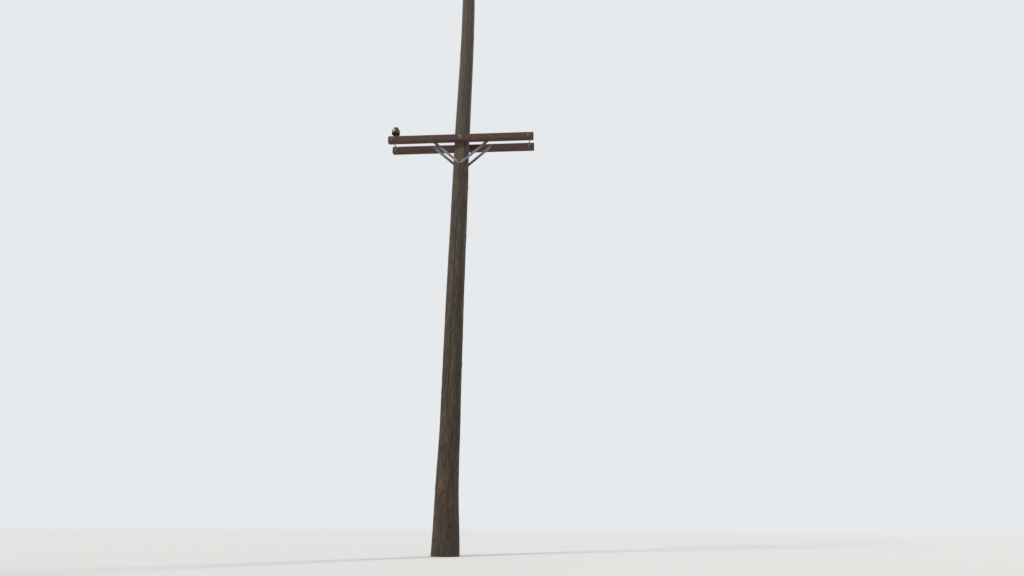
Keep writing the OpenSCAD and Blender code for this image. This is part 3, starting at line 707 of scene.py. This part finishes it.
def crossarm(node, holes, hole_radius, check_shares, seed):
    """The skin of a crossarm. Its points are a grid: places along the timber by places round its section. The
    grid bends to a circle round each hole, where a round wall joins the top to the underside."""
    half_l, half_d, half_h = half_size(node)
    hole_x = np.array([mount["pos_m"][0] for mount in holes]) - node_middle(node).x
    section = arm_section(half_d, half_h, hole_radius, check_shares)
    around = len(section)
    y0, z0, out_y, out_z, line, step = section.T[:, None, :]
    x = (hole_x[:, None] + hole_places(hole_radius)).ravel()
    x = placed_between(-half_l, half_l, long_gap, [*x, half_l - end_row, end_row - half_l])[:, None]
    turn, share = np.arange(around)[None, :] / around, (x + half_l) / (2 * half_l)

    random = np.random.default_rng(seed)
    opened = open_checks(random, share[:, 0], arm_lines, arm_checks, *arm_check_ends)
    opened = opened[:, line[0].astype(int)]
    bottom = (line >= 0) & (step == 0)
    lip = (line >= 0) & (np.abs(step) == 2)
    relief = arm_waves * smooth_noise(turn, share, 9, 16, seed + 1)
    relief = relief + arm_grain * smooth_noise(turn, share, 45, 90, seed + 2)
    relief = relief - arm_check_depth * opened * bottom + arm_lip_rise * opened * lip
    slide = arm_check_half_width * step * (opened - 1) * 0.75
    chips = np.maximum(smooth_noise(turn, share, 7, 75, seed + 3) - 0.7, 0) * 3
    corner = np.hypot(half_d - np.abs(y0), half_h - np.abs(z0)) < 0.5 * arm_bevel
    bevelled = np.abs(out_y * out_z) > 0.1
    wear = (corner_wear + corner_chip * chips) * corner + bevel_chip * chips * bevelled
    stray = check_stray * smooth_noise(out_y * 0.3, share, 5, 9, seed + 4) * np.abs(out_y) ** 8
    stray = stray * np.clip(1 - (z0 / half_h) ** 2, 0, 1)
    narrowed = 1 - end_wear * (np.abs(x) > half_l - 1e-4) / half_h
    y = (y0 + out_y * relief - np.sign(y0) * wear - out_z * slide) * narrowed
    z = (z0 + out_z * relief - np.sign(z0) * wear + out_y * slide + stray) * narrowed
    x = np.broadcast_to(x, y.shape)

    # In each hole's zone, squares about its middle turn into circles: fully at its edge, and less further out
    on_face = (np.abs(out_z) > 0.9) & (np.abs(y0) <= hole_zone + 1e-6)
    bent_x, bent_y = x, y
    inside = np.zeros(x.shape, bool)
    rims = []
    for hole in hole_x:
        dx, dy = x - hole, np.broadcast_to(y0, x.shape)
        square = np.maximum(np.abs(dx), np.abs(dy))
        blend = np.clip((square - hole_radius) / (hole_zone - hole_radius), 0, 1)
        rounding = on_face * (1 - blend) * (square / np.maximum(np.hypot(dx, dy), 1e-9) - 1)
        bent_x, bent_y = bent_x + dx * rounding, bent_y + dy * rounding
        inside |= on_face & (square < hole_radius - 1e-6)
        for up in (1, -1):
            ring = np.argwhere(on_face & (np.sign(out_z) == up) & (np.abs(square - hole_radius) < 1e-5))
            turns = np.arctan2(dy[tuple(ring.T)], dx[tuple(ring.T)])
            rims.append((ring[np.argsort(turns)] * [around, 1]).sum(1))

    cap_share = np.array([0.9, 0.7, 0.45, 0.2])[:, None]
    caps = []
    for end in (0, -1):
        grain = end_rough * smooth_noise(turn, cap_share, 24, 4, seed + 5 + end) - end_sunk
        cap_x = bent_x[end] + np.sign(bent_x[end]) * grain
        caps.append(joined(cap_x, y[end] * cap_share, z[end] * cap_share))
    points = np.concatenate([caps[0][::-1], joined(bent_x, bent_y, z), caps[1]])
    cap_rings = ((len(cap_share), len(cap_share)), (0, 0))
    values = {
        "check": np.pad(opened * bottom, cap_rings),
        "end_grain": np.pad(0 * x, cap_rings, constant_values=1),
    }
    skin, faces, values = closed_skin(points + np.array(node_middle(node)), values)
    hollow = np.append(np.pad(inside, cap_rings), [False, False])
    faces = [f[~hollow[f].any(1)] for f in faces]
    for over, below in zip(rims[::2], rims[1::2]):
        over, below = over + len(cap_share) * around, below + len(cap_share) * around
        faces.append(joined(over, np.roll(over, -1), np.roll(below, -1), below))
        # Painted shade: each hole's wall takes the checks' near black in full
        values["check"][over] = values["check"][below] = 0.5
    used = np.unique(np.concatenate([f.ravel() for f in faces]))
    number = np.zeros(len(skin), int)
    number[used] = np.arange(len(used))
    return skin[used], [number[f] for f in faces], {key: v[used] for key, v in values.items()}


def arm_finish(name, node, heart, seed):
    """Sawn timber whose growth rings are cylinders about the tree's heart, beside the arm's own middle."""
    wood = Finish(name)
    middle = node_middle(node)
    shift = (seed * 1.7, -middle.y - heart[0], -middle.z - heart[1])
    local = wood.node("VectorMath", {"operation": "ADD"}, {0: wood.place, 1: shift})
    rings = wood.rings(wood.stretched(0.035, 1, 1, local), "X", 66.0, 2.2, 1.5, 0.5)
    waves = wood.noise((1.6, 9, 9), 2.0, place=local)
    hairs = wood.noise((9, 330, 330), 3.0, 0.7, local)
    streaks = wood.noise((1.8, 60, 60), 4.0, 0.65, local)
    patches = wood.noise((2.5, 7, 7), 4.0, 0.6, local)
    greyed = wood.step(wood.facing_up(), 0.2, 0.9) * 0.65
    # Painted shade: these browns, and the tones over them, are darker than the timber's own
    colour = wood.mix(rings, (0.058, 0.0255, 0.0175), (0.092, 0.042, 0.0285))
    colour = wood.stained(
        colour,
        (waves, 0.35, 0.7, 0.5, (0.070, 0.036, 0.026)),
        (streaks, 0.5, 0.25, 0.8, (0.030, 0.016, 0.013)),
        (patches + streaks * 0.5, 0.5, 0.9, greyed, (0.120, 0.096, 0.079)),
        (patches, 0.50, 0.72, 0.6, (0.040, 0.024, 0.019)),
        (patches, 0.42, 0.25, 0.4, (0.108, 0.060, 0.042)),
        (hairs, 0.5, 0.3, 0.55, (0.026, 0.014, 0.011)),
    )
    end_grain = wood.mix(rings, (0.045, 0.028, 0.021), (0.100, 0.066, 0.050))
    colour = wood.mix(wood.value("end_grain"), colour, end_grain)
    # Painted shade: checks and pin-hole walls are painted near black
    colour = wood.stained(colour, (wood.value("check"), 0.12, 0.5, 1.0, (0.011, 0.007, 0.006)))
    relief = rings * 0.12 + streaks * 0.5 + hairs * 0.5
    return wood.shade(base_color=colour, roughness=0.72 + hairs * 0.22, normal=wood.bump(relief, 0.0016))


# Each arm: its name, its tree's heart, where checks lie across its back, front and top, and its seed
arms = (
    ("front", (0.020, -0.050), (0.36, 0.62, 0.86), 101),
    ("back", (-0.030, 0.045), (0.58, 0.30, 0.13), 102),
    ("top", (0.055, 0.020), (0.47, 0.55, 0.88), 103),
)
for side, heart, check_shares, seed in arms:
    node, name = side + "_arm", side + "_timber"
    holes = [m for m in frame["record"]["mounts"] if m["name"].startswith(side) and m["kind"] == "bore"]
    skin = crossarm(node, holes, holes[0]["dims"]["r_mm"] / 1000, check_shares, seed)
    add_piece(name, [skin], arm_finish(name, node, heart, seed), [node], sharp=48)


# Galvanised braces
# Flat steel bars, drilled, set over and dipped in zinc, which has dulled to a blotchy grey with its spangle
# still faint. Rust shows a little where the dip was thin. The grey is painted darker than dull zinc's own, as
# painted shade.

def galvanised_finish(name, tone, rust):
    """Dull zinc of a tone, with rust where a noise about 0.75 high on average passes the value rust."""
    steel = Finish(name)
    spangle = steel.cell_tone(steel.place, 85.0)
    patina = steel.noise((16, 16, 9), 5.0, 0.65)
    specks = steel.noise((240, 240, 170), 3.0, 0.6)
    rusty = steel.step(patina + specks * 0.5, rust, rust + 0.14)
    colour = steel.mix(spangle * 0.35 + patina * 0.65, [0.55 * t for t in tone], tone)
    colour = steel.stained(colour, (patina, 0.5, 0.75, 0.5, (0.125, 0.122, 0.117)))
    colour = steel.mix(rusty, colour, steel.mix(specks, (0.075, 0.028, 0.013), (0.2, 0.085, 0.037)))
    roughness = 0.48 + spangle * 0.12 + rusty * 0.34
    relief = specks * 0.5 + rusty * 0.6 + patina * 0.3
    return steel.shade(base_color=colour, metallic=0.55 - rusty * 0.5, roughness=roughness,
                       normal=steel.bump(relief, 0.0006))


def finish_steel(endings, material, width):
    """Gives the CAD nodes whose names end so their finish, and rounds their edges by a width, as rolling,
    dipping and wear do."""
    for name, piece in frame["nodes"].items():
        if name.endswith(endings):
            piece.data.materials.clear()
            piece.data.materials.append(material)
            piece.modifiers.new("weld", "WELD").merge_threshold = 2e-5
            rounding = piece.modifiers.new("rounding", "BEVEL")
            rounding.width, rounding.segments = width, 2
            rounding.limit_method, rounding.angle_limit = "ANGLE", math.radians(40)
            rounding.use_clamp_overlap = True


# Painted shade: the braces' zinc tone is darker than dull zinc's own
finish_steel("_brace", galvanised_finish("dull_zinc_painted_darker", (0.205, 0.207, 0.213), 0.86), 0.0007)


# Bolts, nuts and washers
# Square-headed through bolts, threaded spacing bolts, round-headed brace bolts, and square nuts and washers,
# all hot-dipped. Their threads are rolled, so they stand out as sharp ridges, and rust starts on them first.

# Painted shade: the zinc of bolts, nuts, washers and pins is darker than dull zinc's own as well
rusty_zinc_painted_darker = galvanised_finish("rusty_zinc_painted_darker", (0.185, 0.18, 0.175), 0.76)
finish_steel(("_washers", "_washer", "_nuts", "_nut", "_screw"), rusty_zinc_painted_darker, 0.0009)

bolt_radius = half_size("left_spacing_bolt").x
thread_pitch, thread_depth, rod_bevel = 0.0023, 0.0011, 0.0015
rings_a_pitch = 5
no_flat = 1.0


def turned(rows, around=32):
    """Rings of points about the Z axis, from rows of height, half a square's width, a circle's radius and 1
    where a thread is rolled. A ring is the smaller of its square and its circle, and a thread is a triangle
    wave that is cut into it and climbs one pitch a turn."""
    heights, flats, rounds, threads = np.array(rows, float).T[:, :, None]
    turn = np.arange(around) / around
    angle = turn * 2 * np.pi
    square = flats / np.maximum(np.abs(np.cos(angle)), np.abs(np.sin(angle)))
    wave = np.abs((heights / thread_pitch - turn) % 1 * 2 - 1)
    reach = np.minimum(square, rounds) - thread_depth * wave * threads
    return joined(reach * np.cos(angle), reach * np.sin(angle), heights)


def rod_rows(*stretches):
    """Rows of a round rod with bevelled ends, from stretches of start, end, radius and 1 for a thread."""
    rows = [(stretches[0][0], no_flat, stretches[0][2] - rod_bevel, 0)]
    for k, (start, end, radius, threaded) in enumerate(stretches):
        first = start + (rod_bevel if k == 0 else 1e-5)
        last = end - (rod_bevel if k == len(stretches) - 1 else 0)
        rings = int((last - first) / thread_pitch * rings_a_pitch) + 2 if threaded else 2
        rows += [(height, no_flat, radius, threaded) for height in np.linspace(first, last, rings)]
    return [*rows, (stretches[-1][1], no_flat, stretches[-1][2] - rod_bevel, 0)]


def along_y(points, x, z, way=1):
    """Turns rings about Z into rings about a line along Y through x and z, to the front where way is -1."""
    return joined(x + points[..., 0], way * points[..., 2], z - way * points[..., 1])


def add_steel(prefix, node, *rings):
    """A finished piece of steel in place of a node, from one or more sets of rings."""
    skins = [closed_skin(points, {}) for points in rings]
    add_piece(prefix + node, skins, rusty_zinc_painted_darker, [node], sharp=35)


# A through bolt's head is on the front, domed at 30 degrees, and its thread starts a little inside the nut
nut_reach, head_worn = 0.012, 0.0007
head_face, head_corner, head_slope = 0.96, 1.41, math.radians(30)
for node, washer, nut in (
    ("arm_bolt", "arm_bolt_washers", "arm_bolt_nut"),
    ("brace_bolt", "brace_bolt_washers", "brace_bolt_nut"),
    ("top_arm_bolt", "top_arm_washer", "top_arm_bolt_nut"),
):
    low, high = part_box(node)
    middle, half = node_middle(node), half_size(node).x
    seat, nut_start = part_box(washer)[0].y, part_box(nut)[0].y + nut_reach
    face, corner = head_face * half, head_corner * half
    dome = (corner - face) * math.tan(head_slope)
    rows = [(low.y + dome * s, half, face + (corner - face) * s, 0) for s in (0, 0.09, 0.35, 0.7, 1)]
    rows += [(seat - head_worn, half, corner - head_worn, 0)]
    rows += [(seat, half - head_worn, corner - 2 * head_worn, 0)]
    rows += rod_rows((seat + 1e-5, nut_start, bolt_radius, 0), (nut_start, high.y, bolt_radius, 1))[1:]
    add_steel("threaded_", node, along_y(turned(rows), middle.x, middle.z))

# The spacing bolts are threaded from end to end. Only what shows outside the arms and between them is cut.
arm_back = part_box("back_arm")[1].y
for node in ("left_spacing_bolt", "right_spacing_bolt"):
    low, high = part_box(node)
    middle = node_middle(node)
    rows = rod_rows((low.y, -arm_back, bolt_radius, 1), (-arm_back, -seat_y, bolt_radius, 0),
                    (-seat_y, seat_y, bolt_radius, 1), (seat_y, arm_back, bolt_radius, 0),
                    (arm_back, high.y, bolt_radius, 1))
    add_steel("threaded_", node, along_y(turned(rows, 24), middle.x, middle.z))

# Round-headed bolts hold the braces to the arms: a dome outside, a little fuller than round, and a short
# thread inside
dome_radius = half_size("front_brace_arm_bolts").z
small_radius, small_thread, dome_height = 0.00625, 0.022, 0.007
dome_rings, dome_tip, dome_power = 8, 0.0006, 0.9
for node, way in (("front_brace_arm_bolts", -1), ("back_brace_arm_bolts", 1), ("top_brace_arm_bolts", -1)):
    low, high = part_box(node)
    end, crown = (low.y, high.y) if way == 1 else (-high.y, -low.y)
    seat, thread_end = crown - dome_height, end + small_thread
    rows = rod_rows((end, thread_end, small_radius, 1), (thread_end, seat, small_radius, 0))[:-1]
    rows += [(seat - 1e-5, no_flat, small_radius, 0)]
    for turn in np.linspace(0, np.pi / 2, dome_rings):
        radius_there = max(dome_radius * np.cos(turn) ** dome_power, dome_tip)
        rows += [(seat + dome_height * np.sin(turn), no_flat, radius_there, 0)]
    places = (low.x + dome_radius, high.x - dome_radius)
    add_steel("threaded_", node, *(along_y(turned(rows), x, node_middle(node).z, way) for x in places))


# Insulator pins
# Forged steel pins: a threaded shank through the arm, a round base that bears on it, and a tapered stem whose
# thick head screws into the insulator.

pin_base_t, pin_base_round, pin_base_fall, pin_edge, pin_thread = 0.006, 0.002, 0.0015, 0.001, 0.04
pin_root, pin_neck, pin_head = 0.014, 0.009, 0.0125
stem_foot, stem_end, head_length, stem_rings = 0.008, 0.053, 0.044, 7
for node, arm in (("front_left_pin", "front_arm"), ("top_left_pin", "top_arm"), ("top_right_pin", "top_arm")):
    arm_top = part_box(arm)[1].z
    middle, base = node_middle(node), half_size(node).x
    shank_end, head_top = (v.z - arm_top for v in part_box(node))
    thread_top = shank_end + pin_thread
    rows = rod_rows((shank_end, thread_top, bolt_radius, 1), (thread_top, -0.0001, bolt_radius, 0))[:-1]
    outline = [(0.0, base - pin_edge), (pin_edge, base)]
    outline += [(pin_base_t - pin_base_fall, base), (pin_base_t, base - pin_base_round)]
    stem_low, stem_high = pin_base_t + stem_foot, head_top - stem_end
    for share in np.linspace(0, 1, stem_rings):
        stem_radius = pin_root + (pin_neck - pin_root) * np.sin(share * np.pi / 2)
        outline += [(stem_low + (stem_high - stem_low) * share, stem_radius)]
    outline += [(head_top - head_length, pin_head), (head_top - pin_edge, pin_head)]
    outline += [(head_top, pin_head - pin_edge)]
    rows += [(height, no_flat, reach, 0) for height, reach in outline]
    add_steel("forged_", node, turned(rows) + np.array([middle.x, middle.y, arm_top]))


# Pin insulators
# Wet-process porcelain, turned on a lathe: a wide bell with a petticoat and a hub inside it, a tie groove
# round the neck, and a crown with a groove across it for the wire. A dark brown glaze covers all that shows.

def arc(x, y, r, start, end, steps):
    """Points round part of a circle, from one angle to another in degrees."""
    a = np.radians(np.linspace(start, end, steps + 1))
    return joined(x + r * np.cos(a), y + r * np.sin(a))


def straight(*stops, steps=4):
    """Points along straight lines between stops."""
    stops = np.array(stops, float)
    share = np.linspace(0, 1, steps, endpoint=False)[:, None]
    runs = [a + (b - a) * share for a, b in zip(stops[:-1], stops[1:])]
    return np.concatenate([*runs, stops[-1:]])


crown_radius, crown_round, crown_edge = 0.044, 0.018, 0.002
wire_radius, wire_round = 0.014, 0.0028
quarter_steps, edge_steps, edge_reach, crown_steps = 26, 8, 0.07, 45


def insulator_outline(skirt_radius, height):
    """The outline from the top of the pin's socket, down inside, round the lips and up the outside to the
    crown's side. Every corner of it is an arc."""
    socket, socket_top, draft, ceiling = 0.0129, 0.066, 0.002, 0.050
    hub, hub_low, hub_lip, hub_cove = 0.0209, 0.018, 0.004, 0.0045
    coat, coat_wall, coat_low, coat_lip, coat_cove = 0.042, 0.008, 0.008, 0.004, 0.006
    bell_wall, bell_top, bell_draft, bell_lip, shoulder = 0.012, 0.078, 0.002, 0.004, 0.020
    tie_x, tie_r, tie_turn, land = 0.0455, 0.009, 70, 0.003
    tie_rise = tie_r * math.sin(math.radians(tie_turn))
    tie_z = bell_top + land + tie_rise
    crown_z = tie_z + tie_rise + land
    return np.concatenate([
        straight((0.0015, socket_top), (socket, socket_top), (socket, hub_low + hub_lip)),
        arc(hub - hub_lip, hub_low + hub_lip, hub_lip, 182, 360, 8),
        arc(hub + draft + hub_cove, ceiling - hub_cove, hub_cove, 180, 90, 5),
        arc(coat - coat_wall - draft - hub_cove, ceiling - hub_cove, hub_cove, 90, 0, 5),
        arc(coat - coat_lip, coat_low + coat_lip, coat_lip, 180, 360, 8),
        arc(coat + draft + coat_cove, ceiling - coat_cove, coat_cove, 180, 90, 5),
        arc(skirt_radius - bell_wall - draft - coat_cove, ceiling - coat_cove, coat_cove, 89, 0, 5),
        arc(skirt_radius - bell_wall + bell_lip, bell_lip, bell_lip, 180, 270, 5),
        arc(skirt_radius - bell_lip, bell_lip, bell_lip, 271, 360, 6),
        arc(skirt_radius - bell_draft - shoulder, bell_top - shoulder, shoulder, 0, 90, 16),
        arc(tie_x, tie_z, tie_r, 180 + tie_turn, 180 - tie_turn, 14),
        arc(crown_radius - crown_edge, crown_z + crown_edge, crown_edge, 290, 360, 4),
        straight((crown_radius, crown_z + 0.0025), (crown_radius, height - crown_round), steps=2),
    ])


def insulator(node):
    """The outline turned about its axis and closed by a crown. The crown's points stand in lines along the
    wire groove, so that its edges stay straight. Each is at the lower of the crown's round top and the
    groove's floor, with a small round where the two meet."""
    middle, base_z = node_middle(node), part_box(node)[0].z
    height = 2 * half_size(node).z
    outline = insulator_outline(half_size(node).x, height)
    edge = math.acos(wire_radius / crown_radius)
    even = np.linspace(0, math.pi / 2, quarter_steps + 1)[1:]
    close = edge + np.linspace(-edge_reach, edge_reach, edge_steps)
    quarter = np.unique(np.round(np.concatenate([even, close]), 6))
    half = np.concatenate([quarter, math.pi - quarter[-2::-1]])
    ring = np.concatenate([[0], half, [math.pi], 2 * math.pi - half[::-1]])
    body = joined(outline[:, :1] * np.cos(ring), outline[:, :1] * np.sin(ring), outline[:, 1:])

    across = np.sin(np.linspace(-1, 1, crown_steps) * math.pi / 2)[:, None]
    x = crown_radius * np.cos(half)
    y = crown_radius * np.sin(half) * across
    past_flat = np.clip(np.hypot(x, y) - crown_radius + crown_round, 0, crown_round)
    z = height - crown_round + np.sqrt(crown_round ** 2 - past_flat ** 2)
    beside = np.maximum(np.abs(x) - wire_radius, 0)
    floor_z = height - np.sqrt(np.maximum(wire_radius ** 2 - x ** 2, 0)) + 4 * beside
    blend = np.clip(0.5 + 0.5 * (z - floor_z) / wire_round, 0, 1)
    z = z + (floor_z - z) * blend - wire_round * blend * (1 - blend)
    crown = joined(x, y, z)[1:-1]

    # The crown's first and last lines are points of the outline's top ring, which its faces share
    rings, around, lines = len(outline), len(ring), len(half)
    top = (rings - 1) * around
    socket = rings * around + crown.size // 3
    number = np.empty(y.shape, int)
    number[1:-1] = np.arange(rings * around, socket).reshape(-1, lines)
    number[-1] = top + 1 + np.arange(lines)
    number[0] = top + 2 * lines + 1 - np.arange(lines)
    cells = joined(number[:-1, :-1], number[1:, :-1], number[1:, 1:], number[:-1, 1:]).reshape(-1, 4)
    right_fan = joined(top, number[1:, 0], number[:-1, 0])
    left_fan = joined(top + lines + 1, number[:-1, -1], number[1:, -1])
    column = np.arange(around)
    socket_fan = joined(socket, (column + 1) % around, column)
    points = np.concatenate([body.reshape(-1, 3), crown.reshape(-1, 3), body[:1].mean(1)])
    points = points + np.array((middle.x, middle.y, base_z))
    return points, [grid_cells(rings, around), cells, right_fan, left_fan, socket_fan], {}


def glaze_finish():
    """Brown glaze that has run a little darker and lighter, with fine specks, and dust where it faces up."""
    glaze = Finish("brown_glaze")
    flow = glaze.noise((14, 14, 5), 4.0, 0.6)
    specks = glaze.noise((420, 420, 420), 2.0)
    dust = glaze.noise((30, 30, 30), 5.0, 0.7)
    dusty = glaze.step(glaze.facing_up(), 0.2, 0.95) * glaze.step(dust, 0.42, 0.68)
    colour = glaze.mix(glaze.step(flow, 0.3, 0.7), (0.040, 0.0125, 0.006), (0.085, 0.030, 0.013))
    colour = glaze.stained(colour, (specks, 0.62, 0.72, 0.5, (0.016, 0.007, 0.005)))
    colour = glaze.mix(dusty * 0.4, colour, (0.19, 0.165, 0.14))
    roughness = 0.28 + dusty * 0.38 + flow * 0.10
    return glaze.shade(base_color=colour, roughness=roughness, coat_weight=0.22 - dusty * 0.2,
                       normal=glaze.bump(flow, 0.0012))


glaze = glaze_finish()
for node in ("front_left_insulator", "top_left_insulator", "top_right_insulator"):
    add_piece("glazed_" + node, [insulator(node)], glaze, [node], sharp=50)


# Floor, light and camera
# A plain pale floor that fades into the backdrop, one broad soft key light from the front left, a weaker one
# from behind, and the photograph's low camera, which looks up at the double arm.

backdrop_colour = (0.80, 0.82, 0.84, 1.0)
floor_reach, floor_corners = 400.0, 96
floor_mesh = bpy.data.meshes.new("floor")
angle = np.arange(floor_corners) / floor_corners * 2 * np.pi
floor_points = joined(np.cos(angle), np.sin(angle), 0) * floor_reach
floor_mesh.from_pydata(floor_points, [], [list(range(floor_corners))])
floor = bpy.data.objects.new("floor", floor_mesh)
bpy.context.scene.collection.objects.link(floor)
floor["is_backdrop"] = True
ground = Finish("pale_floor")
ground.shade(base_color=(0.64, 0.635, 0.62, 1.0), roughness=0.9)
distance = ground.node("VectorMath", {"operation": "LENGTH"}, {0: ground.place}, output="Value")
glow = ground.node("Emission", None, {"Color": backdrop_colour, "Strength": 1.0})
lit = Signal(ground, ground.shader.outputs[0])
faded = ground.node("MixShader", None, {0: ground.step(distance, 14.0, 60.0), 1: lit, 2: glow})
ground.fill(ground.tree.nodes["Material Output"], {"Surface": faded})
floor_mesh.materials.append(ground.material)

# The backdrop's colour shows to the camera and in gloss. All else is lit by a soft, cooler white.
world = bpy.data.worlds.new("studio")
bpy.context.scene.world = world
world.use_nodes = True
sky = Nodes(world.node_tree)
seen = sky.node("LightPath", output="Is Camera Ray")
for kind in ("Is Glossy Ray", "Is Transmission Ray"):
    seen = seen.math("MAXIMUM", seen, sky.node("LightPath", output=kind))
soft = sky.node("Background", None, {"Color": (0.93, 0.96, 1.0, 1.0), "Strength": 0.55})
sky.fill(sky.tree.nodes["Background"], {"Color": backdrop_colour, "Strength": 1.0})
backdrop = Signal(sky, sky.tree.nodes["Background"].outputs[0])
chosen = sky.node("MixShader", None, {0: seen, 1: soft, 2: backdrop})
sky.fill(sky.tree.nodes["World Output"], {"Surface": chosen})


def sun(name, azimuth, elevation, strength, softness, colour):
    """A distant lamp that shines from an elevation and an azimuth, counted from the front to the right."""
    lamp = bpy.data.lights.new(name, "SUN")
    lamp.energy = strength
    lamp.angle = math.radians(softness)
    lamp.color = colour
    holder = bpy.data.objects.new(name, lamp)
    holder.rotation_euler = (math.radians(90 - elevation), 0, math.radians(azimuth))
    bpy.context.scene.collection.objects.link(holder)


sun("key_light", -48, 40, 1.9, 12, (1.0, 0.97, 0.93))
sun("rim_light", 140, 48, 1.1, 10, (1.0, 0.98, 0.95))

camera_place = (1.4813, -9.1381, 0.4296)
camera_yaw, camera_pitch, camera_roll = 3.8304, 20.3317, 0.4165
lens = bpy.data.cameras.new("camera")
lens.sensor_width = 36.0
lens.lens = 22.266
camera = bpy.data.objects.new("camera", lens)
camera.location = camera_place
view = Matrix()
for degrees, axis in ((camera_yaw, "Z"), (90 + camera_pitch, "X"), (camera_roll, "Z")):
    view = view @ Matrix.Rotation(math.radians(degrees), 4, axis)
camera.rotation_euler = view.to_euler()
bpy.context.scene.collection.objects.link(camera)
bpy.context.scene.camera = camera
bpy.context.scene.view_settings.view_transform = "Standard"

low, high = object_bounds()
